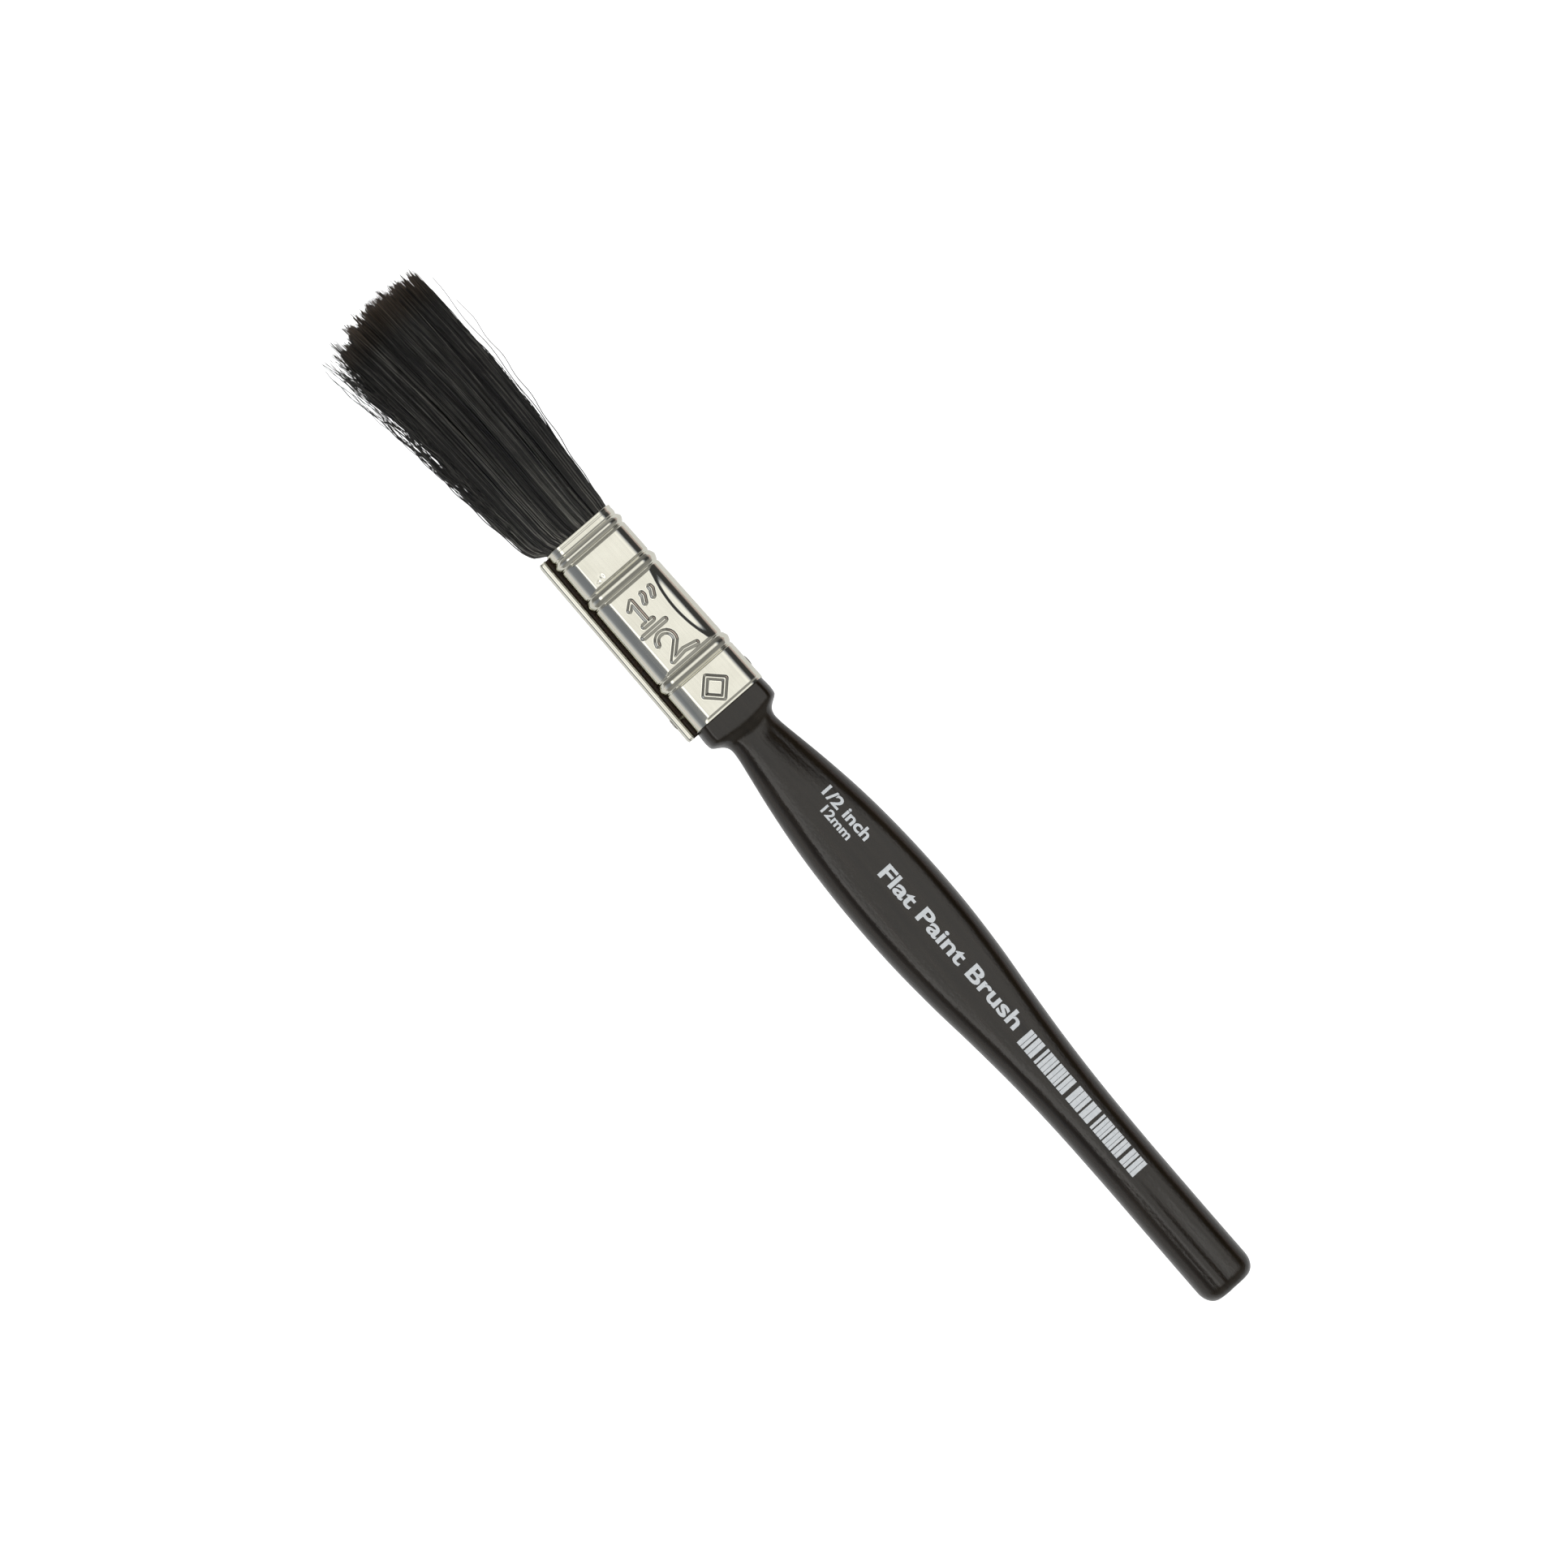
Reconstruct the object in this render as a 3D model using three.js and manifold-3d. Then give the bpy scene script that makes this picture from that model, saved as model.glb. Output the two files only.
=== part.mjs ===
// A flat half-inch paint brush, lying on its back face: a lacquered wooden handle with a tenon,
// a pressed metal ferrule with rolled beads and a lock seam, two brads, and a head of filaments
// that is set in resin round a spacer.
// Millimetres. +X runs along the brush to the bristle tips, +Y across it to the ferrule's seam,
// and +Z up out of the front face. The origin is on the surface that the brush lies on, below
// the middle of its length.
import * as THREE from "three";
import { mergeVertices } from "three/addons/utils/BufferGeometryUtils.js";
import Module from "manifold-3d";

const wasm = await Module();
wasm.setup();

// ---- driving dimensions ----

const HANDLE_OUT = 118.4; // handle behind the ferrule
const FERRULE_LENGTH = 35.4;
const BRISTLE_OUT = 46.8; // filaments past the ferrule's mouth, at the crown of the tips
const LENGTH = HANDLE_OUT + FERRULE_LENGTH + BRISTLE_OUT;
const BOARD = 8; // the handle's thickness between its two flat faces
const MID_Z = BOARD / 2;
const FIT = 0.05; // clearance between pieces that are driven or cast into one another

const BUTT_X = -LENGTH / 2;
const HEEL_X = BUTT_X + HANDLE_OUT; // the ferrule's back edge, against the handle's shoulder
const MOUTH_X = HEEL_X + FERRULE_LENGTH; // the ferrule's open end, where the filaments leave it
const TIP_X = LENGTH / 2;

const HANDLE = {
  shoulder: 6.63, // half-widths, from the shoulder behind the ferrule to the tail
  neck: 4.35,
  belly: 7.75,
  tail: 4.92,
  edge: 2.2, // width of the rounded edge beside each flat face
  shoulderEdge: 1.8,
  neckThin: 2.8, // half-thickness at the neck
  buttLength: 2.8, // the butt's rounded corners: along the handle, and across it
  buttAcross: 2.0,
  buttRound: 2.0,
  tenon: 15,
};

const FERRULE = {
  mouth: 6.3, // half-widths outside
  heel: 6.7,
  half: 3.7, // half the thickness outside, between beads
  edge: 2.2, // width of the rounded edge beside each flat face
  wall: 0.35,
  bead: 0.3, // how far a bead stands proud
  groove: 0.15, // depth of the line behind the rim
};
// Beads and the groove, as distances from the mouth to the middle of each, and their widths.
const BEADS = [
  { at: 2.45, width: 1.7 },
  { at: 10.15, width: 2.1 },
  { at: 27.0, width: 2.1 },
];
const RIM_GROOVE = { at: 1.3, width: 0.6 };

const SEAM = {
  neckHalf: 1.0, // half-heights and distances out from the ferrule's side
  neckOut: 0.75,
  stripHalf: 1.7,
  stripOut: 1.7,
};

const TENON_END = HEEL_X + HANDLE.tenon;

const BRAD = { shank: 0.45, length: 5.5, head: 0.95, headHeight: 0.2, fromHeel: 3.4 };

const RESIN_LENGTH = 6.5;
const SPACER = { half: 1.0, halfWidth: 5.0, length: 9.5 };

const HEAD = {
  pivotOut: 3.6, // from the mouth to the axis that the filaments bend about
  heelHalf: 3.0, // half-thickness at that axis
  midHalf: 3.25,
  tipHalf: 2.5,
  rootWidth: 6.05, // half-widths
  tipWidth: 9.3,
  edge: 2.2, // width of the rounded edge beside each flat face
  crown: 2.2, // how far the middle of the tips stands past their two ends
  gap: 0.3, // between the front and back packs
};

// ---- helpers ----

const EDGE_STEPS = 8; // facets round each rounded edge
const FACE_STEPS = 6; // facets across each face

// Cross-section in the YZ plane, anticlockwise seen from +X: two faces joined by half-ellipse edges.
// halfAt(q) is the half-thickness where q is the squared share of the way from the middle to a
// face's border.
function ring(halfWidth, edge, halfAt) {
  const border = Math.max(halfWidth - edge, 0.2);
  const round = halfWidth - border;
  const upper = [];
  for (let i = 0; i <= EDGE_STEPS / 2; i++) {
    const a = (Math.PI * i) / EDGE_STEPS;
    upper.push([border + round * Math.cos(a), halfAt(1) * Math.sin(a)]);
  }
  for (let i = 1; i < FACE_STEPS; i++) {
    const share = 1 - (2 * i) / FACE_STEPS;
    upper.push([border * share, halfAt(share * share)]);
  }
  const left = upper.slice(0, EDGE_STEPS / 2 + 1).map(([y, z]) => [-y, z]);
  const over = [...upper, ...left.reverse()];
  const under = over.slice(1, -1).map(([y, z]) => [y, -z]);
  return [...over, ...under.reverse()].map(([y, z]) => [y, z + MID_Z]);
}

// Closed surface through rings of equal length, placed at rising X, with flat ends.
function loft(stations) {
  const size = stations[0].ring.length;
  const positions = stations.flatMap(({ x, ring }) => ring.flatMap(([y, z]) => [x, y, z]));
  const index = [];
  for (let s = 0; s + 1 < stations.length; s++) {
    for (let j = 0; j < size; j++) {
      const a = s * size + j;
      const b = s * size + ((j + 1) % size);
      index.push(a, b, b + size, a, b + size, a + size);
    }
  }
  const last = (stations.length - 1) * size;
  for (let j = 1; j + 1 < size; j++) {
    index.push(0, j + 1, j);
    index.push(last, last + j, last + j + 1);
  }
  const geometry = new THREE.BufferGeometry();
  geometry.setAttribute("position", new THREE.Float32BufferAttribute(positions, 3));
  geometry.setIndex(index);
  return geometry;
}

function solid(geometry) {
  const bare = geometry.clone();
  bare.deleteAttribute("normal");
  bare.deleteAttribute("uv");
  const merged = mergeVertices(bare, 1e-4);
  return new wasm.Manifold(
    new wasm.Mesh({
      numProp: 3,
      vertProperties: new Float32Array(merged.attributes.position.array),
      triVerts: new Uint32Array(merged.index.array),
    }),
  );
}

function geometryOf(manifold) {
  const mesh = manifold.getMesh();
  const geometry = new THREE.BufferGeometry();
  geometry.setAttribute("position", new THREE.BufferAttribute(mesh.vertProperties, 3));
  geometry.setIndex(new THREE.BufferAttribute(mesh.triVerts, 1));
  geometry.computeVertexNormals();
  return geometry;
}

// Box between two corners.
function block(x0, x1, y0, y1, z0, z1) {
  const geometry = new THREE.BoxGeometry(x1 - x0, y1 - y0, z1 - z0);
  return solid(geometry.translate((x0 + x1) / 2, (y0 + y1) / 2, (z0 + z1) / 2));
}

// Four-sided bar along X whose Y limits follow the ferrule's taper.
function taperedBar(x0, x1, inner, outer, half) {
  const ends = [x0, x1].map((x) => ({
    x,
    ring: [
      [ferruleHalfWidth(x) + outer, MID_Z - half],
      [ferruleHalfWidth(x) + outer, MID_Z + half],
      [ferruleHalfWidth(x) + inner, MID_Z + half],
      [ferruleHalfWidth(x) + inner, MID_Z - half],
    ],
  }));
  return solid(loft(ends));
}

const { lerp, smoothstep } = THREE.MathUtils;

// ---- ferrule sections ----

function ferruleHalfWidth(x) {
  return lerp(FERRULE.mouth, FERRULE.heel, (MOUTH_X - x) / FERRULE_LENGTH);
}

// The ferrule's own section, grown by an offset: its outside at 0, its bore at minus the wall.
function ferruleRing(x, offset) {
  const half = () => FERRULE.half + offset;
  return ring(ferruleHalfWidth(x) + offset, FERRULE.edge + offset, half);
}

// A plug that fills the ferrule's bore between two places, less the fitting clearance.
function borePlug(x0, x1, offset = -FERRULE.wall - FIT) {
  return loft([x0, x1].map((x) => ({ x, ring: ferruleRing(x, offset) })));
}

// ---- pieces ----

// Half-thickness at u millimetres behind the shoulder's face: it drops to the neck, swells to the
// full board and is rounded off at the butt.
function handleHalf(u, q) {
  const neck = lerp(FERRULE.half, HANDLE.neckThin, smoothstep(u + 0.5 * q, 3.1, 5.8));
  const board = lerp(neck, MID_Z, smoothstep(u, 6, 24));
  const past = Math.max(u - (HANDLE_OUT - HANDLE.buttRound), 0);
  const rounded = HANDLE.buttRound - Math.sqrt(Math.max(HANDLE.buttRound ** 2 - past ** 2, 0));
  return board - rounded;
}

// Plan outline as (distance behind the shoulder's face, half-width).
function handleOutline() {
  const corner = HANDLE_OUT - HANDLE.buttLength;
  const outline = new THREE.Path();
  outline.moveTo(0, HANDLE.shoulder);
  outline.lineTo(3.1, HANDLE.shoulder);
  outline.quadraticCurveTo(3.6, HANDLE.shoulder, 3.85, 5.9);
  outline.quadraticCurveTo(4.4, HANDLE.neck, 6.0, HANDLE.neck);
  outline.splineThru([
    new THREE.Vector2(13, 5.35),
    new THREE.Vector2(24, 6.9),
    new THREE.Vector2(39.5, HANDLE.belly),
    new THREE.Vector2(54, 7.22),
    new THREE.Vector2(68, 5.87),
    new THREE.Vector2(82, 4.98),
    new THREE.Vector2(98, 4.83),
    new THREE.Vector2(corner, HANDLE.tail),
  ]);
  const inner = HANDLE.tail - HANDLE.buttAcross;
  outline.absellipse(corner, inner, HANDLE.buttLength, HANDLE.buttAcross, Math.PI / 2, 0, true);
  return outline.getPoints(4);
}

function handle() {
  const stations = handleOutline().map(({ x: u, y: halfWidth }) => {
    const past = smoothstep(u, 3, 8);
    const edge = lerp(HANDLE.shoulderEdge, HANDLE.edge, past);
    return { x: HEEL_X - u, ring: ring(halfWidth, edge, (q) => handleHalf(u, q)) };
  });
  stations.reverse();
  for (const x of [HEEL_X, TENON_END]) {
    stations.push({ x, ring: ferruleRing(x, -FERRULE.wall - FIT) });
  }
  const shape = solid(loft(stations));
  return geometryOf(shape.subtract(bradHole(1)).subtract(bradHole(-1)));
}

// Height of the beads and the groove at a distance behind the mouth: half-sine ridges.
function relief(distance) {
  const ridge = ({ at, width }) => Math.max(Math.cos((Math.PI * (distance - at)) / width), 0);
  const near = (r) => Math.abs(distance - r.at) < r.width / 2;
  const beads = BEADS.filter(near).reduce((sum, r) => sum + FERRULE.bead * ridge(r), 0);
  return near(RIM_GROOVE) ? beads - FERRULE.groove * ridge(RIM_GROOVE) : beads;
}

function ferrule() {
  const steps = 8;
  const distances = [0, FERRULE_LENGTH - FIT];
  for (const { at, width } of [RIM_GROOVE, ...BEADS]) {
    for (let i = 0; i <= steps; i++) distances.push(at + width * (i / steps - 0.5));
  }
  distances.sort((a, b) => b - a);
  const outside = distances.map((d) => ({ x: MOUTH_X - d, ring: ferruleRing(MOUTH_X - d, relief(d)) }));
  const bore = [HEEL_X - 1, MOUTH_X + 1].map((x) => ({ x, ring: ferruleRing(x, -FERRULE.wall) }));
  const back = HEEL_X + FIT;
  const seam = taperedBar(back, MOUTH_X, SEAM.neckOut - FIT, SEAM.stripOut, SEAM.stripHalf).add(
    taperedBar(back, MOUTH_X, -FERRULE.wall / 2, SEAM.neckOut, SEAM.neckHalf),
  );
  const sleeve = solid(loft(outside)).add(seam).subtract(solid(loft(bore)));
  return geometryOf(sleeve.subtract(bradHole(1)).subtract(bradHole(-1)));
}

// ---- brads: one through each narrow side, side 1 being the seam's ----

const BRAD_X = HEEL_X + BRAD.fromHeel;

// Where a brad's head sits, measured out from the brush's middle.
function bradSeat(side) {
  return ferruleHalfWidth(BRAD_X) + (side > 0 ? SEAM.stripOut : 0);
}

function onSide(geometry, side, y) {
  return geometry.rotateZ(side > 0 ? 0 : Math.PI).translate(BRAD_X, side * y, MID_Z);
}

function bradHole(side) {
  const depth = BRAD.length + 0.5;
  const hole = new THREE.CylinderGeometry(BRAD.shank + FIT, BRAD.shank + FIT, depth + 2, 16);
  return solid(onSide(hole.translate(0, 1 - depth / 2, 0), side, bradSeat(side)));
}

function brad(side) {
  const { shank, length, head, headHeight } = BRAD;
  const profile = [
    [0, -length],
    [shank, 1.2 - length],
    [shank, 0],
    [head, 0],
    [head * 0.92, headHeight * 0.5],
    [head * 0.6, headHeight * 0.9],
    [0, headHeight],
  ].map(([r, y]) => new THREE.Vector2(r, y + FIT));
  return onSide(new THREE.LatheGeometry(profile, 16), side, bradSeat(side));
}

// ---- inside the ferrule ----

const RESIN_END = TENON_END + FIT + RESIN_LENGTH;
const ROOT_START = RESIN_END + FIT;
const ROOT_END = MOUTH_X;

function resin() {
  return borePlug(TENON_END + FIT, RESIN_END);
}

function spacer() {
  const { half, halfWidth, length } = SPACER;
  const end = ROOT_START + length;
  return geometryOf(block(ROOT_START, end, -halfWidth, halfWidth, MID_Z - half, MID_Z + half));
}

// Everything in front of the middle plane (side 1) or behind it (side -1), less half the gap
// between the packs.
function halfSpace(side) {
  const near = MID_Z + (side * HEAD.gap) / 2;
  const far = MID_Z + side * BOARD;
  return block(BUTT_X, TIP_X + 1, -BOARD * 2, BOARD * 2, Math.min(near, far), Math.max(near, far));
}

function rootPack(side) {
  const halfWidth = SPACER.halfWidth + FIT;
  const half = SPACER.half + FIT;
  const end = ROOT_START + SPACER.length + FIT;
  const pocket = block(ROOT_START - 1, end, -halfWidth, halfWidth, MID_Z - half, MID_Z + half);
  const plug = solid(borePlug(ROOT_START, ROOT_END));
  return geometryOf(plug.intersect(halfSpace(side)).subtract(pocket));
}

// ---- the free filaments, which bend as one about an axis just past the mouth ----

const PIVOT_X = MOUTH_X + HEAD.pivotOut;

// How far the filaments have fanned out, from 0 at the mouth to 1, at a share of the way to the tips:
// a straight rise and a level run, joined by a parabola.
function fan(share) {
  const rise = 2 * share;
  const blend = THREE.MathUtils.clamp(0.5 + (1 - rise) / 0.6, 0, 1);
  return lerp(1, rise, blend) - 0.3 * blend * (1 - blend);
}

// The pack's half-thickness from the bending axis to the tips: fullest a third of the way out.
function bulge(share) {
  const out = share < 0.35 ? share / 0.35 : 1 - (share - 0.35) / 0.65;
  return lerp(share < 0.35 ? HEAD.heelHalf : HEAD.tipHalf, HEAD.midHalf, Math.sin((out * Math.PI) / 2));
}

function headStations() {
  const free = TIP_X - PIVOT_X;
  const crownRadius = (HEAD.tipWidth ** 2 + HEAD.crown ** 2) / (2 * HEAD.crown);
  const widthAt = (x) => lerp(HEAD.rootWidth, HEAD.tipWidth, fan((x - MOUTH_X) / BRISTLE_OUT));
  const station = (x, halfWidth, half) => {
    const edge = Math.min(HEAD.edge, halfWidth / 2);
    return { x, ring: ring(halfWidth, edge, () => half) };
  };
  const stations = [];
  // The heel is round about the bending axis, so that it turns in place.
  for (const degrees of [12, 30, 48, 66, 84]) {
    const a = THREE.MathUtils.degToRad(degrees);
    const x = PIVOT_X - HEAD.heelHalf * Math.cos(a);
    stations.push(station(x, widthAt(x), HEAD.heelHalf * Math.sin(a)));
  }
  for (const share of [0.08, 0.16, 0.24, 0.33, 0.42, 0.55, 0.75]) {
    const x = PIVOT_X + share * free;
    stations.push(station(x, widthAt(x), bulge(share)));
  }
  for (const back of [1, 0.6, 0.25, 0.03]) {
    const x = TIP_X - back * HEAD.crown;
    const across = Math.sqrt(crownRadius ** 2 - (crownRadius - back * HEAD.crown) ** 2);
    stations.push(station(x, across, bulge(1) * lerp(0.7, 1, back)));
  }
  stations.push(station(TIP_X, 1.0, bulge(1) * 0.6));
  return stations;
}

function headPack(side) {
  return geometryOf(solid(loft(headStations())).intersect(halfSpace(side)));
}

// ---- assembly ----

const MATERIALS = {
  lacquer: { color: 0x2b2925, roughness: 0.35, metalness: 0 },
  nickel: { color: 0xd9d4c6, roughness: 0.18, metalness: 1 },
  steel: { color: 0xb9b6ae, roughness: 0.3, metalness: 1 },
  resin: { color: 0x9a7a3c, roughness: 0.4, metalness: 0 },
  wood: { color: 0xb48a5a, roughness: 0.8, metalness: 0 },
  filament: { color: 0x1d1a17, roughness: 0.5, metalness: 0 },
};

const brush = new THREE.Group();

function add(name, geometry, material) {
  const mesh = new THREE.Mesh(geometry, new THREE.MeshStandardMaterial(MATERIALS[material]));
  mesh.name = name;
  brush.add(mesh);
}

add("handle", handle(), "lacquer");
add("ferrule", ferrule(), "nickel");
add("seam_side_brad", brad(1), "steel");
add("plain_side_brad", brad(-1), "steel");
add("resin_set", resin(), "resin");
add("spacer", spacer(), "wood");
add("front_bristle_roots", rootPack(1), "filament");
add("back_bristle_roots", rootPack(-1), "filament");
add("front_bristle_head", headPack(1), "filament");
add("back_bristle_head", headPack(-1), "filament");

export default brush;
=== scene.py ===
import math

import bpy
import numpy as np
from mathutils import Matrix, Vector


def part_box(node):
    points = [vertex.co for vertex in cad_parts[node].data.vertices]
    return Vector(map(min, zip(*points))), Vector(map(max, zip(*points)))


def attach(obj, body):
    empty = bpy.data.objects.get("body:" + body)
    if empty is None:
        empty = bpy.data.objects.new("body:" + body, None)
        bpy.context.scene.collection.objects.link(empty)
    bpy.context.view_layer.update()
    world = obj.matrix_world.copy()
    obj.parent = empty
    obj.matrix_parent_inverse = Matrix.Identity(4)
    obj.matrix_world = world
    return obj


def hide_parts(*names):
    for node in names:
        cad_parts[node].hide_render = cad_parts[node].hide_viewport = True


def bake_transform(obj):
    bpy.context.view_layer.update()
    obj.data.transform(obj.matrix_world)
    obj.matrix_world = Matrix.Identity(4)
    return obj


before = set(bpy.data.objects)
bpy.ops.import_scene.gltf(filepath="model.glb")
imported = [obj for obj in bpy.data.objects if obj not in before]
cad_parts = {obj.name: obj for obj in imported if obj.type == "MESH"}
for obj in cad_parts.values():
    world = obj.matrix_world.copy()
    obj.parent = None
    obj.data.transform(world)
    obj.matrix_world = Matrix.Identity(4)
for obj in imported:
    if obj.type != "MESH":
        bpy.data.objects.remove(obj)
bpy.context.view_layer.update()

# A flat half-inch paint brush. Shapes are worked out in millimetres and made in metres.
# +X runs to the bristle tips, +Y to the ferrule's seam, +Z out of the printed face.
MM = 0.001
BODY, HEAD = "brush_body", "bristle_head"


def node_box(name):
    """A CAD node's lowest and highest corners, in millimetres."""
    return [np.array(corner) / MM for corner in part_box(name)]


BUTT_X = node_box("handle")[0][0]
TENON_X = node_box("handle")[1][0]
HEEL_X, MOUTH_X = node_box("ferrule")[0][0], node_box("ferrule")[1][0]
ROOT_X = node_box("front_bristle_roots")[0][0]
SPACER_END_X = node_box("spacer")[1][0]
TIP_X = node_box("front_bristle_head")[1][0]
TOP_Z = node_box("handle")[1][2]
MID_Z = TOP_Z / 2
HANDLE_OUT = HEEL_X - BUTT_X
FERRULE_LENGTH = MOUTH_X - HEEL_X
BRISTLE_OUT = TIP_X - MOUTH_X
SPACER_HALF = (node_box("spacer")[1][2] - node_box("spacer")[0][2]) / 2
SEED = 20
rng = np.random.default_rng(SEED)


# ---- maths ----

def smoothstep(x, low, high):
    t = np.clip((x - low) / (high - low), 0, 1)
    return t * t * (3 - 2 * t)


def lerp(a, b, t):
    return a + (b - a) * t


def hermite(knots, x):
    """Smooth curve through (place, value) knots, with slopes from each knot's neighbours."""
    px, py = np.array(knots, float).T
    slope = np.gradient(py, px)
    i = np.clip(np.searchsorted(px, x) - 1, 0, len(px) - 2)
    step = px[i + 1] - px[i]
    t = np.clip((x - px[i]) / step, 0, 1)
    a = (2 * t**3 - 3 * t**2 + 1) * py[i] + (t**3 - 2 * t**2 + t) * step * slope[i]
    return a + (3 * t**2 - 2 * t**3) * py[i + 1] + (t**3 - t**2) * step * slope[i + 1]


def blur(points, radius, axis, wrap):
    """Gaussian smoothing of a grid of points along one axis, in grid steps. Open ends are held."""
    reach = int(math.ceil(radius * 3))
    if reach < 1:
        return points
    weights = np.exp(-0.5 * (np.arange(-reach, reach + 1) / radius) ** 2)
    weights /= weights.sum()
    pad = [(0, 0)] * points.ndim
    pad[axis] = (reach, reach)
    padded = np.pad(points, pad, mode="wrap" if wrap else "edge")
    n = points.shape[axis]
    return sum(w * np.take(padded, range(k, k + n), axis=axis) for k, w in enumerate(weights))


# ---- mesh making ----

def make_object(name, points, faces, material, smooth=True):
    mesh = bpy.data.meshes.new(name)
    mesh.from_pydata((np.asarray(points) * MM).tolist(), [], faces)
    mesh.validate()
    mesh.polygons.foreach_set("use_smooth", [smooth] * len(mesh.polygons))
    mesh.materials.append(material)
    piece = bpy.data.objects.new(name, mesh)
    bpy.context.scene.collection.objects.link(piece)
    return piece


def grid_faces(rows, columns, wrap_rows=False, offset=0):
    """Quads of a grid whose rows are closed rings of points."""
    faces = []
    for r in range(rows if wrap_rows else rows - 1):
        here, there = r * columns, ((r + 1) % rows) * columns
        for c in range(columns):
            d = (c + 1) % columns
            faces.append((offset + here + c, offset + here + d, offset + there + d, offset + there + c))
    return faces


def ring_object(name, rings, material, capped=True):
    """Surface through closed rings of equal length that run anticlockwise seen from the last one."""
    rows, columns = len(rings), len(rings[0])
    points = np.concatenate(rings)
    faces = grid_faces(rows, columns)
    if capped:
        points = np.vstack([points, np.mean(rings[0], axis=0), np.mean(rings[-1], axis=0)])
        first, last, top = rows * columns, rows * columns + 1, (rows - 1) * columns
        for c in range(columns):
            d = (c + 1) % columns
            faces.append((d, c, first))
            faces.append((top + c, top + d, last))
    return make_object(name, points, faces, material)


def from_curve(name, curve_object, material):
    """Turns a text or curve object into a mesh piece."""
    mesh = bpy.data.meshes.new_from_object(curve_object)
    bpy.data.objects.remove(curve_object)
    mesh.materials.clear()
    mesh.materials.append(material)
    piece = bpy.data.objects.new(name, mesh)
    bpy.context.scene.collection.objects.link(piece)
    return piece


# ---- materials ----

class NodeTree:
    """Shading nodes being put together: each call adds one node and joins it up."""

    def __init__(self, tree):
        self.nodes = tree.nodes
        self.links = tree.links

    def join(self, socket, value):
        """Feeds a socket from another socket, or sets it to a plain value."""
        if isinstance(value, bpy.types.NodeSocket):
            self.links.new(value, socket)
        else:
            socket.default_value = value

    def add(self, kind, inputs=(), **settings):
        node = self.nodes.new(kind)
        for key, value in settings.items():
            setattr(node, key, value)
        for key, value in dict(inputs).items():
            self.join(node.inputs[key], value)
        return node

    def ramp(self, factor, stops):
        node = self.add("ShaderNodeValToRGB", {0: factor})
        elements = node.color_ramp.elements
        while len(elements) < len(stops):
            elements.new(1.0)
        for element, (position, colour) in zip(elements, stops):
            element.position = position
            element.color = (*colour, 1)
        return node.outputs[0]

    def mix(self, factor, a, b, blend="MIX"):
        inputs = {0: factor, 6: a, 7: b}
        return self.add("ShaderNodeMix", inputs, data_type="RGBA", blend_type=blend).outputs[2]


class Shader(NodeTree):
    """A node material."""

    def __init__(self, name):
        self.material = bpy.data.materials.new(name)
        self.material.use_nodes = True
        super().__init__(self.material.node_tree)
        self.surface = self.nodes["Principled BSDF"]

    def place(self, scale):
        """Object coordinates stretched along each axis, so that grain can run one way."""
        coordinates = self.add("ShaderNodeTexCoord").outputs["Object"]
        return self.add("ShaderNodeMapping", {"Vector": coordinates, "Scale": scale}).outputs[0]

    def noise(self, scale, detail=3.0, roughness=0.5, stretch=(1, 1, 1)):
        inputs = {"Vector": self.place(stretch), "Scale": scale, "Detail": detail, "Roughness": roughness}
        return self.add("ShaderNodeTexNoise", inputs).outputs[0]

    def spread(self, factor, low, high, frm=(0.3, 0.7)):
        """Maps one range of a factor onto another, held at both ends."""
        inputs = {0: factor, 1: frm[0], 2: frm[1], 3: low, 4: high}
        return self.add("ShaderNodeMapRange", inputs).outputs[0]

    def bump(self, height, distance, strength=1.0, normal=None):
        inputs = {"Height": height, "Distance": distance, "Strength": strength}
        if normal is not None:
            inputs["Normal"] = normal
        return self.add("ShaderNodeBump", inputs).outputs[0]

    def done(self, **inputs):
        """Sets the surface's sockets, named with _ for each space."""
        for key, value in inputs.items():
            self.join(self.surface.inputs[key.replace("_", " ")], value)
        return self.material


def lacquer():
    """Black gloss lacquer over wood: the grain just shows, with orange peel and cloudy handling marks."""
    s = Shader("black_gloss_lacquer")
    grain = s.noise(900, 4, 0.6, (0.06, 1, 1))
    cloud = s.noise(90, 2)
    peel = s.noise(1900, 3)
    colour = s.ramp(cloud, [(0.3, (0.0080, 0.0052, 0.0020)), (0.7, (0.0120, 0.0078, 0.0030))])
    colour = s.mix(s.spread(grain, 0.0, 0.8), colour, (0.025, 0.018, 0.010, 1))
    normal = s.bump(peel, 0.00005, 0.6, s.bump(grain, 0.00006, 0.6))
    return s.done(Base_Color=colour, Roughness=s.spread(cloud, 0.16, 0.23), Normal=normal, IOR=1.5)


def nickel():
    """Bright nickel plate on drawn strip: faint draw lines, cloudy handling marks and fine scratches."""
    s = Shader("bright_nickel_plate")
    draw = s.noise(2200, 3, 0.6, (0.03, 1, 1))
    cloud = s.noise(260, 3)
    scratch = s.noise(1500, 2, 0.5, (1, 0.05, 0.05))
    colour = s.ramp(cloud, [(0.3, (0.73, 0.715, 0.62)), (0.7, (0.79, 0.775, 0.68))])
    rough = s.spread(draw, 0.07, 0.13)
    rough = s.add("ShaderNodeMath", {0: rough, 1: s.spread(cloud, 0.0, 0.04)}, operation="ADD").outputs[0]
    normal = s.bump(draw, 0.00002, 0.5, s.bump(scratch, 0.00002, 0.3))
    return s.done(Base_Color=colour, Metallic=1.0, Roughness=rough, Normal=normal)


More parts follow.
